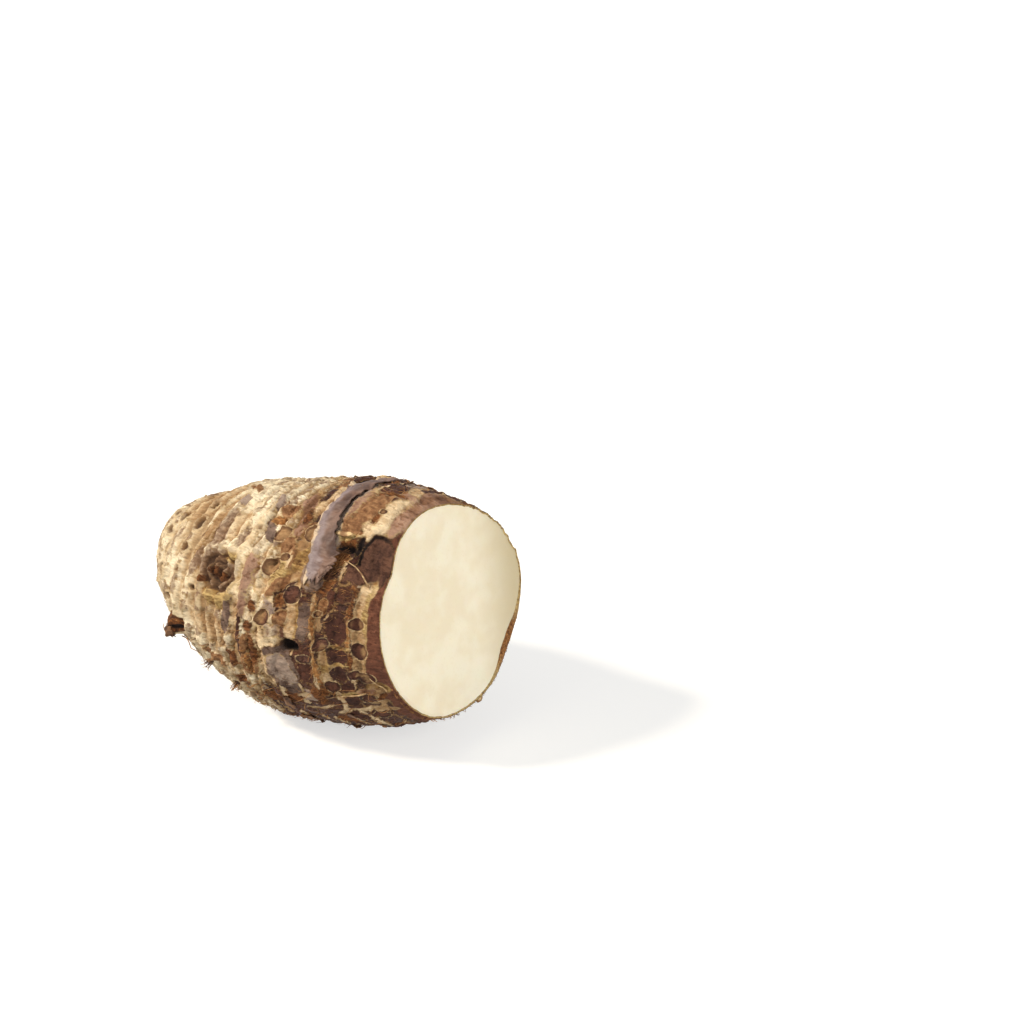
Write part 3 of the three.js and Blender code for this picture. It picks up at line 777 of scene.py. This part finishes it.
# %% Bark: small relief and the shader
RELIEF = [  # what stands up or sinks, and how far in mm
    (noises["crumb"], 0.4), (noises["streak"], 0.3), (crack_line, -0.5), (scar_rim, 0.35),
    (flecks, -0.35), (frayed, 0.3), (hairs, 0.15),
]
relief = times(noises["fibre"], plus(times(dark_skin, 0.35), 0.25))
for field, amount in RELIEF:
    relief = times_plus(field, amount, relief)
strength = ramp(pale_skin, 0, 1, 1.0, 0.6)
bump = node(tree, "ShaderNodeBump", {"Height": relief, "Distance": 1 * MM, "Strength": strength})
rough = ramp(fields_of["plate"], 0.3, 0.7, 0.82, 0.6)
shader = node(
    tree, "ShaderNodeBsdfPrincipled",
    {"Base Color": colour, "Roughness": rough, "IOR": 1.45, "Normal": bump.outputs[0]},
)
shader.inputs["Specular IOR Level"].default_value = 0.3
node(tree, "ShaderNodeOutputMaterial", {"Surface": shader.outputs[0]})
corm_mesh.materials.append(bark)
print("bark:", len(tree.nodes), "nodes")

# %% [markdown]
# ## Taro flesh
# Fresh taro flesh is dense, starchy and moist: creamy white, faintly mottled, with light that sinks in a
# millimetre or two and softens every shadow.

# %% Flesh
flesh, tree = new_material("taro_flesh")
place_on_corm = node(tree, "ShaderNodeTexCoord").outputs["Object"]
mottle = node(tree, "ShaderNodeTexNoise", {"Vector": place_on_corm, "Scale": 1 / (11 * MM), "Detail": 2})
grit = node(tree, "ShaderNodeTexNoise", {"Vector": place_on_corm, "Scale": 1 / (0.9 * MM), "Detail": 2})
colour = blend(ramp(mottle.outputs[0], 0.35, 0.65), linear("#F1E6CC"), linear("#F7EFD9"))
colour = blend(ramp(grit.outputs[0], 0.55, 0.75, 0, 0.25), colour, linear("#E6D8B6"))
# Painted shade: the flesh is darker towards the far side of the face.
across = node(tree, "ShaderNodeSeparateXYZ", {0: place_on_corm}).outputs[1]
colour = blend(ramp(across, 18 * MM, 48 * MM, 0, 0.9), colour, linear("#C6B792"))
bump = node(tree, "ShaderNodeBump", {"Height": grit.outputs[0], "Distance": 0.12 * MM, "Strength": 0.6})
shader = node(
    tree, "ShaderNodeBsdfPrincipled",
    {"Base Color": colour, "Roughness": 0.48, "IOR": 1.4, "Normal": bump.outputs[0]},
)
shader.inputs["Subsurface Weight"].default_value = 0.35
shader.inputs["Subsurface Radius"].default_value = (1.0, 0.72, 0.4)
shader.inputs["Subsurface Scale"].default_value = 2.5 * MM
node(tree, "ShaderNodeOutputMaterial", {"Surface": shader.outputs[0]})
corm_mesh.materials.append(flesh)

# %% [markdown]
# ## Laying things on the skin
# Husk, scales, threads and dead roots all lie on the skin, so they need its true height. The finished mesh is
# searched from outside, straight inwards: where the line meets the skin is where the piece lies.

# %% A place on the finished skin
def finished_skin():
    shape = bmesh.new()
    shape.from_mesh(corm_mesh)
    tree = BVHTree.FromBMesh(shape)
    shape.free()
    return tree


skin_tree = finished_skin()
SEARCH_FROM = 12  # mm outside the smooth body
CLEAR_OF_TABLE = 0.5  # mm that a piece's middle stays above the surface that the corm lies on


def on_skin(at, angle, lift=0.0):
    """Points in metres that lie lift mm above the skin, for lists of places on the corm."""
    at, angle, lift = (np.atleast_1d(np.asarray(value, float)) for value in (at, angle, lift))
    outs = body_normal(at, angle)
    starts = body_point(at, angle) + outs * SEARCH_FROM
    found = []
    for start, out, raised in zip(starts, outs, np.broadcast_to(lift, at.shape)):
        out, start = Vector(out), Vector(start)
        hit = skin_tree.ray_cast(start * MM, -out)[0] or (start - out * SEARCH_FROM) * MM
        place = hit + out * (raised * MM)
        place.z = max(place.z, CLEAR_OF_TABLE * MM)
        found.append(place)
    return found


# %% A finished piece, and a thin sheet
def add_piece(shape, name, material):
    bmesh.ops.recalc_face_normals(shape, faces=shape.faces[:])
    for face in shape.faces:
        face.smooth = True
    mesh = bpy.data.meshes.new(name)
    shape.to_mesh(mesh)
    shape.free()
    mesh.materials.append(material)
    piece = bpy.data.objects.new(name, mesh)
    bpy.context.scene.collection.objects.link(piece)
    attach(piece, "root")
    print(name + ":", triangles(mesh), "triangles")
    return piece


def lay_sheet(shape, place_of, columns, rows, thickness):
    """A closed thin sheet: place_of(u, v) gives distance, angle and lift for u and v from 0 to 1."""
    across = shape.verts.layers.float.get("across") or shape.verts.layers.float.new("across")
    made = bmesh.ops.create_grid(shape, x_segments=columns, y_segments=rows, size=0.5)
    places = [place_of(vert.co.x + 0.5, vert.co.y + 0.5) for vert in made["verts"]]
    for vert in made["verts"]:
        vert[across] = vert.co.y + 0.5
    for vert, place in zip(made["verts"], on_skin(*zip(*places))):
        vert.co = place
    faces = list({face for vert in made["verts"] for face in vert.link_faces})
    outs = body_normal(*np.transpose([place[:2] for place in places]))
    copied = bmesh.ops.extrude_face_region(shape, geom=faces, use_keep_orig=True)["geom"]
    out_of = {tuple(vert.co): out for vert, out in zip(made["verts"], outs)}
    for vert in [part for part in copied if isinstance(part, bmesh.types.BMVert)]:
        vert.co += Vector(out_of[tuple(vert.co)]) * (thickness * MM)


# %% [markdown]
# ## Papery husk
# The dry base of one leaf still clings to the near side: a lilac-grey sheet, thin as paper, that runs down
# from the top. It is held along the edge away from the cut and stands off the skin along the other, where it
# is torn. A grid is laid along a line on the skin and given a thickness, and the tear comes from noise on its
# edge.

# %% Husk
HUSK_LINE = [  # angle, and the distances from the cut of its free edge and of its held edge
    (62, 34, 40), (78, 31.8, 41), (92, 30.2, 40.5), (105, 29.6, 39.8), (115, 29.4, 38.6), (123, 27.6, 37),
    (131, 25, 35.4), (138, 23, 34), (144, 23.4, 33.2), (149, 25, 32.6),
]


def line_value(line, t, column):
    """A value on a line of rows, read at t from 0 to 1."""
    return np.interp(t * (len(line) - 1), range(len(line)), [place[column] for place in line])


def husk_place(u, v):
    turn, free_edge, held_edge = (line_value(HUSK_LINE, u, column) for column in (0, 1, 2))
    v = min(v, 1)
    freedom = (1 - v) ** 1.5
    hanging = bell((turn - 138) / 9)
    ragged = noise.fractal(Vector((u * 34, v * 2, 3)), 0.8, 2.2, 3)
    middle = free_edge + (held_edge - free_edge) * v + (0.7 + 1.1 * hanging) * ragged * (1 - v)
    middle += 0.9 * noise.noise(Vector((u * 20, 5, v))) * v
    curl = 0.25 + freedom * (0.5 + 0.5 * smooth(u, 0.2, 0.6) + 1.5 * hanging)
    ripple = 0.35 * noise.noise(Vector((u * 12, v * 2.5, 8)))
    folded = 1.5 * hanging * (1 - v) * noise.noise(Vector((v * 3, 2, u * 3)))
    folded += 5 * u**8 * noise.fractal(Vector((v * 7, 4, 1)), 0.9, 2.1, 2)
    return middle, turn + folded, 0.1 + curl * smooth(1 - v, 0, 0.35) + ripple * (1 - v)


# %% [markdown]
# ## Dry husk, dead fibre
# Husk is a dead leaf's skin: smooth and faintly silky, with fine veins that run across it. Dead root fibre is
# straw brown and matt. Both are thin, so they need no more than colour, veins and a low relief.

# %% Husk material
husk_paper, tree = new_material("dry_leaf_husk")
place_on_corm = node(tree, "ShaderNodeTexCoord").outputs["Object"]
veined = node(tree, "ShaderNodeMapping", {"Vector": place_on_corm, "Scale": (0.15, 1, 1)}).outputs[0]
patterns = []
for vector, size, detail in ((place_on_corm, 7, 4), (veined, 0.8, 3)):
    made = node(tree, "ShaderNodeTexNoise", {"Vector": vector, "Scale": 1 / (size * MM), "Detail": detail})
    patterns.append(made.outputs[0])
clouds, veins = patterns
across = node(tree, "ShaderNodeAttribute", attribute_name="across").outputs["Fac"]
colour = blend(ramp(clouds, 0.35, 0.65), linear("#4C362D"), linear("#795D4F"))
held = plus(across, times(plus(clouds, -0.5), 0.9))
colour = blend(ramp(held, 0.45, 0.75, 0, 0.85), colour, linear("#86787A"))
# Painted highlight: a pale band along the held edge.
colour = blend(ramp(held, 0.88, 1.0, 0, 0.8), colour, linear("#D9C2A0"))
colour = blend(ramp(veins, 0.5, 0.7, 0, 0.5), colour, linear("#5F483C"))
bump = node(tree, "ShaderNodeBump", {"Height": veins, "Distance": 0.3 * MM, "Strength": 0.7})
shader = node(
    tree, "ShaderNodeBsdfPrincipled",
    {"Base Color": colour, "Roughness": 0.55, "IOR": 1.45, "Normal": bump.outputs[0]},
)
node(tree, "ShaderNodeOutputMaterial", {"Surface": shader.outputs[0]})

# %% Dry fibre, cork and bark
DRY_COLOURS = {  # darker and lighter
    "dead_root_fibre": ("#5C371B", "#AC7A48"), "cork_flake": ("#8C6A48", "#D9BC8C"),
    "loose_bark_scale": ("#3B241A", "#8A6546"),
}
dry = {}
for name, (dark, light) in DRY_COLOURS.items():
    dry[name], tree = new_material(name)
    place = node(tree, "ShaderNodeTexCoord").outputs["Object"]
    tint = node(tree, "ShaderNodeTexNoise", {"Vector": place, "Scale": 1 / (3 * MM), "Detail": 3}).outputs[0]
    tinted = blend(ramp(tint, 0.35, 0.65), linear(dark), linear(light))
    shader = node(tree, "ShaderNodeBsdfPrincipled", {"Base Color": tinted, "Roughness": 0.75, "IOR": 1.45})
    node(tree, "ShaderNodeOutputMaterial", {"Surface": shader.outputs[0]})
print("dry finishes:", list(dry))

# %% Lay the husk
husk = bmesh.new()
lay_sheet(husk, husk_place, 90, 14, 0.35)
add_piece(husk, "papery_husk", husk_paper)

# %% [markdown]
# ## Loose scales and flakes
# Old bark lifts off in small scales, most of all along the rings. Each one is a little grid, held on one side
# and curled up on the other. Three flakes of pale cork lie beside the husk and the side bud, and a crumb of
# cork stays at the lower rim of the cut.

# %% Scales
scales = bmesh.new()
dice = random.Random(5)


def lay_scale(shape, middle, turn, half_along, half_around, lift, thickness=0.3):
    radius_here = float(radius_at(np.array(float(middle)), np.array(float(turn))))
    ragged, seed = 0.3, dice.uniform(0, 90)

    def place_of(u, v):
        x, y = 2 * u - 1, 2 * v - 1
        round_off = math.sqrt(max(1 - 0.5 * y * y, 0))
        wobble = 1 + ragged * noise.noise(Vector((x * 1.3, y * 1.9, seed)))
        where = middle + x * half_along * round_off * wobble
        around_by = y * half_around * math.sqrt(max(1 - 0.4 * x * x, 0)) * wobble
        return where, turn + math.degrees(around_by / radius_here), 0.05 + lift * (1 - u) ** 1.6

    lay_sheet(shape, place_of, 7, 5, thickness)


for _ in range(110):
    ring = RINGS[dice.randrange(1, 9)]
    middle, turn = ring + dice.uniform(-0.5, 2.5), dice.uniform(0, 360)
    if middle > 9 and float(cut_at(np.array(turn))) + 3 < middle and not 76 < turn < 204:
        half = dice.uniform(1, 2.4)
        lay_scale(scales, middle, turn, half, half * dice.uniform(0.8, 2.2), dice.uniform(0.3, 1.1))
add_piece(scales, "loose_bark_scales", dry["loose_bark_scale"])

flake = bmesh.new()
FLAKES = [  # distance from the cut, angle, half length, half width, lift, thickness
    (24.2, 126.5, 3.8, 0.9, 0.9, 0.45), (39, 70.5, 3, 2.4, 0.7, 0.4), (42.5, 67, 2.2, 2.6, 0.5, 0.4),
]
for place in FLAKES:
    lay_scale(flake, *place)
CRUMB_AT, CRUMB_ANGLE, CRUMB_RADIUS = -2.2, 283, 1.6
crumb_middle = on_skin(CRUMB_AT, CRUMB_ANGLE, 0.4)[0]
for vert in bmesh.ops.create_icosphere(flake, subdivisions=3, radius=CRUMB_RADIUS)["verts"]:
    vert.co = crumb_middle + vert.co * (1 + 0.3 * noise.noise(vert.co * 0.9)) * MM
add_piece(flake, "cork_flakes", dry["cork_flake"])

# %% [markdown]
# ## Threads and dead roots
# Thin dead roots and the threads of the leaf bases stay behind on the skin: a fringe along the underside,
# tufts where old roots were, short fibres in the torn patches. Each is a poly spline with a round bevel, thin
# towards its tip, because such a curve becomes a mesh and hair strands don't. All of one kind share a curve.

# %% Fibres
def fibre_piece(name, material):
    data = bpy.data.curves.new(name, "CURVE")
    data.dimensions, data.bevel_depth, data.bevel_resolution, data.use_fill_caps = "3D", 1.0, 0, True
    data.materials.append(material)
    piece = bpy.data.objects.new(name, data)
    bpy.context.scene.collection.objects.link(piece)
    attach(piece, "root")
    return piece


def add_fibre(piece, path, thickness):
    """One fibre through the points, in metres, as thick as that many mm at its root."""
    spline = piece.data.splines.new("POLY")
    spline.points.add(len(path) - 1)
    for i, place in enumerate(path):
        spline.points[i].co = (*place, 1)
        spline.points[i].radius = thickness / 2 * MM * (1 - 0.7 * i / (len(path) - 1))


def skin_path(middle, turn, length, heading, lift, bend, steps=6):
    """Points that start in the skin and run along it: heading 0 points from the cut to the rounded end."""
    t = np.linspace(0, 1, steps)
    go = np.radians(heading + bend * t)
    radius_here = float(radius_at(np.array(float(middle)), np.array(float(turn))))
    ats = middle + np.cumsum(np.cos(go)) * length / steps
    turns = turn + np.degrees(np.cumsum(np.sin(go)) * length / steps / radius_here)
    ats = np.maximum(ats, cut_at(turns) + 0.4)
    return on_skin(ats, turns, -0.2 + (lift + 0.2) * np.sin(t * math.pi * 0.6))


fibres = fibre_piece("dead_root_fibres", dry["dead_root_fibre"])
dice = random.Random(7)


def scatter(count, ats, turns, lengths, headings, lifts, thicknesses=(0.18, 0.4)):
    for _ in range(count):
        path = skin_path(
            dice.uniform(*ats), dice.uniform(*turns), dice.uniform(*lengths), dice.uniform(*headings),
            dice.uniform(*lifts), dice.uniform(-50, 50),
        )
        add_fibre(fibres, path, dice.uniform(*thicknesses))


# %% Scatter the fibres
FINE = (0.1, 0.24)
scatter(60, (19, 27), (131, 145), (3, 7), (20, 80), (0.3, 1.2), FINE)
scatter(70, (11, 26), (150, 186), (2, 5), (-20, 20), (0.1, 0.4), FINE)
scatter(60, (24.5, 27), (156, 205), (2, 5), (60, 120), (0.3, 0.9), FINE)
scatter(90, (3, 60), (205, 240), (3, 8), (-60, 60), (0.3, 1.6))
scatter(90, (8, 90), (240, 330), (3, 9), (-60, 60), (0.3, 2.2))
scatter(60, (12, 60), (60, 100), (2, 6), (-40, 40), (0.3, 1.2))
scatter(60, (10, 90), (0, 60), (2, 7), (-60, 60), (0.3, 1.6))
scatter(50, (10, 90), (330, 360), (2, 7), (-60, 60), (0.3, 1.6))
scatter(40, (60, 120), (195, 240), (2, 6), (-60, 60), (0.3, 1.5))
scatter(40, (48, 60), (175, 205), (2, 5), (-30, 30), (0.2, 0.7))

# %% Short ends of fibre at the rim, where the knife went through
for _ in range(170):
    turn = dice.uniform(203, 352)
    start = float(cut_at(np.array(turn)))
    length, heading, lift = dice.uniform(1.4, 3.4), dice.uniform(120, 240), dice.uniform(0.2, 1.2)
    path = skin_path(start + 1.6, turn, length, heading, lift, 20)
    add_fibre(fibres, path, dice.uniform(0.2, 0.45))

# %% The thread that crosses the bud by the cut, and root stubs
threads = fibre_piece("pale_threads", dry["cork_flake"])
THREAD = [  # distance from the cut, angle, lift
    (8.6, 149.5, 0.1), (10.5, 147, 0.9), (13, 143.6, 1.5), (15.5, 141, 1.5), (18, 139.4, 1.0),
    (20.5, 139, 0.1),
]
add_fibre(threads, on_skin(*zip(*THREAD)), 0.8)
add_fibre(threads, on_skin(np.linspace(2, 6.5, 5), np.linspace(206, 197, 5), 0.6), 0.8)
add_fibre(threads, on_skin(np.linspace(10, 25, 7), np.linspace(208, 210, 7), 0.5), 0.7)

STUBS = [  # distance from the cut, angle, length, thickness, and the heading of its fibres
    (105, 199, 5.2, 5.2, 40), (85, 208, 4, 2, 60), (70, 214, 4, 1.6, 80), (48, 330, 6, 3, 90),
    (62, 20, 5, 3, 60), (90, 300, 6, 3, 40),
]
add_fibre(fibres, on_skin(np.linspace(102, 85, 9), np.linspace(203, 210, 9), 1.3), 0.5)
for middle, turn, length, thickness, heading in STUBS:
    for _ in range(14):
        path = skin_path(
            middle + dice.uniform(-1, 1), turn + dice.uniform(-2, 2), length * dice.uniform(0.6, 1.1),
            heading + dice.uniform(-50, 50), dice.uniform(1.0, 3.2), dice.uniform(-60, 60),
        )
        add_fibre(fibres, path, dice.uniform(0.25, 0.6))
stub_shape = bmesh.new()
for middle, turn, length, thickness, heading in STUBS:
    made = bmesh.ops.create_cone(
        stub_shape, cap_ends=True, segments=12, radius1=thickness / 2, radius2=thickness * 0.36,
        depth=length * 0.6,
    )["verts"]
    edges = list({edge for vert in made for edge in vert.link_edges})
    bmesh.ops.subdivide_edges(stub_shape, edges=edges, cuts=2)
    out = Vector(body_normal(np.array(float(middle)), np.array(float(turn))))
    turned = (out * 2 + Vector((-1, 0, 0))).to_track_quat("Z", "Y").to_matrix()
    root_at = on_skin(middle, turn, length * 0.15)[0]
    for vert in [vert for vert in stub_shape.verts if not vert.tag]:
        rough = 1 + 0.6 * noise.fractal(vert.co * 0.9 + Vector((middle, 0, 0)), 0.8, 2.1, 2)
        vert.co = root_at + turned @ (vert.co * rough * MM)
        vert.tag = True
add_piece(stub_shape, "root_stubs", dry["loose_bark_scale"])
print("fibres:", len(fibres.data.splines), "threads:", len(threads.data.splines))

# %% [markdown]
# ## Floor, light and camera
# A soft key lamp from the upper left rakes along the skin and shows its relief. A wider one fills in from the
# right, and a faint even light comes from all round, so that a colour looks about as it is written. The floor
# is a white card that still takes the shadow. The camera looks down on the corm from the front right, as one
# does at food on a table.

# %% Stage
def towards(azimuth, elevation):
    """The direction out from the corm: azimuth 0 is the near side, 90 is the right."""
    a, e = math.radians(azimuth), math.radians(elevation)
    return Vector((math.sin(a) * math.cos(e), -math.cos(a) * math.cos(e), math.sin(e)))


def lamp(name, azimuth, elevation, share, softness, tint):
    """A lamp so far off that its light is even: share is how bright it makes a white card that faces it."""
    back = towards(azimuth, elevation)
    data = bpy.data.lights.new(name, "SUN")
    data.energy, data.angle, data.color = share * math.pi, math.radians(softness), linear(tint)[:3]
    made = bpy.data.objects.new(name, data)
    made.rotation_euler = (-back).to_track_quat("-Z", "Y").to_euler()
    bpy.context.scene.collection.objects.link(made)


lamp("key", azimuth=-45, elevation=42, share=1.18, softness=10, tint="#FFF1DE")
lamp("fill", azimuth=82, elevation=24, share=0.56, softness=40, tint="#FFFDF8")

floor_mesh = bpy.data.meshes.new("floor")
plane = bmesh.new()
bmesh.ops.create_grid(plane, x_segments=1, y_segments=1, size=12)
plane.to_mesh(floor_mesh)
plane.free()
floor = bpy.data.objects.new("floor", floor_mesh)
bpy.context.scene.collection.objects.link(floor)


def seen_rays(tree):
    """1 for the rays by which the eye, a gloss or a glass sees a thing, 0 for those that light it."""
    rays = node(tree, "ShaderNodeLightPath").outputs
    seen = rays["Is Camera Ray"]
    for kind in ("Is Glossy Ray", "Is Transmission Ray"):
        seen = node(tree, "ShaderNodeMath", {0: seen, 1: rays[kind]}, operation="MAXIMUM").outputs[0]
    return seen


paper, tree = new_material("white_paper")
card = node(tree, "ShaderNodeBsdfDiffuse", {"Color": linear("#C6C6C4")})
lift = node(tree, "ShaderNodeEmission", {"Color": (1, 1, 1, 1), "Strength": 0.6})
lifted = node(tree, "ShaderNodeAddShader", {0: card.outputs[0], 1: lift.outputs[0]})
mixed = node(tree, "ShaderNodeMixShader", {0: seen_rays(tree), 1: card.outputs[0], 2: lifted.outputs[0]})
node(tree, "ShaderNodeOutputMaterial", {"Surface": mixed.outputs[0]})
floor_mesh.materials.append(paper)

world = bpy.data.worlds.new("studio")
bpy.context.scene.world = world
world.use_nodes = True
tree = world.node_tree
tree.nodes.clear()
ambient = node(tree, "ShaderNodeBackground", {"Color": linear("#FFFDFA"), "Strength": 0.27})
white = node(tree, "ShaderNodeBackground", {"Color": (1, 1, 1, 1), "Strength": 1.0})
mixed = node(tree, "ShaderNodeMixShader", {0: seen_rays(tree), 1: ambient.outputs[0], 2: white.outputs[0]})
node(tree, "ShaderNodeOutputWorld", {"Surface": mixed.outputs[0]})
bpy.context.scene.view_settings.view_transform = "Standard"

# %% Camera
AZIMUTH, ELEVATION, DISTANCE = 38, 22, 667
CORM_MIDDLE = np.array([-68, 0, 42.5]) + SHIFT
CORM_LEFT_BY, CORM_BELOW_BY = 77.4, 32.6  # how far the corm stands from the middle of the view, in mm
back = towards(AZIMUTH, ELEVATION)
right = Vector((math.cos(math.radians(AZIMUTH)), math.sin(math.radians(AZIMUTH)), 0))
up = back.cross(right)
aim = Vector(CORM_MIDDLE) + right * CORM_LEFT_BY + up * CORM_BELOW_BY
camera_data = bpy.data.cameras.new("camera")
camera_data.lens, camera_data.sensor_width = 60, 36
camera = bpy.data.objects.new("camera", camera_data)
camera.location = (aim + back * DISTANCE) * MM
camera.rotation_euler = back.to_track_quat("Z", "Y").to_euler()
bpy.context.scene.collection.objects.link(camera)
bpy.context.scene.camera = camera
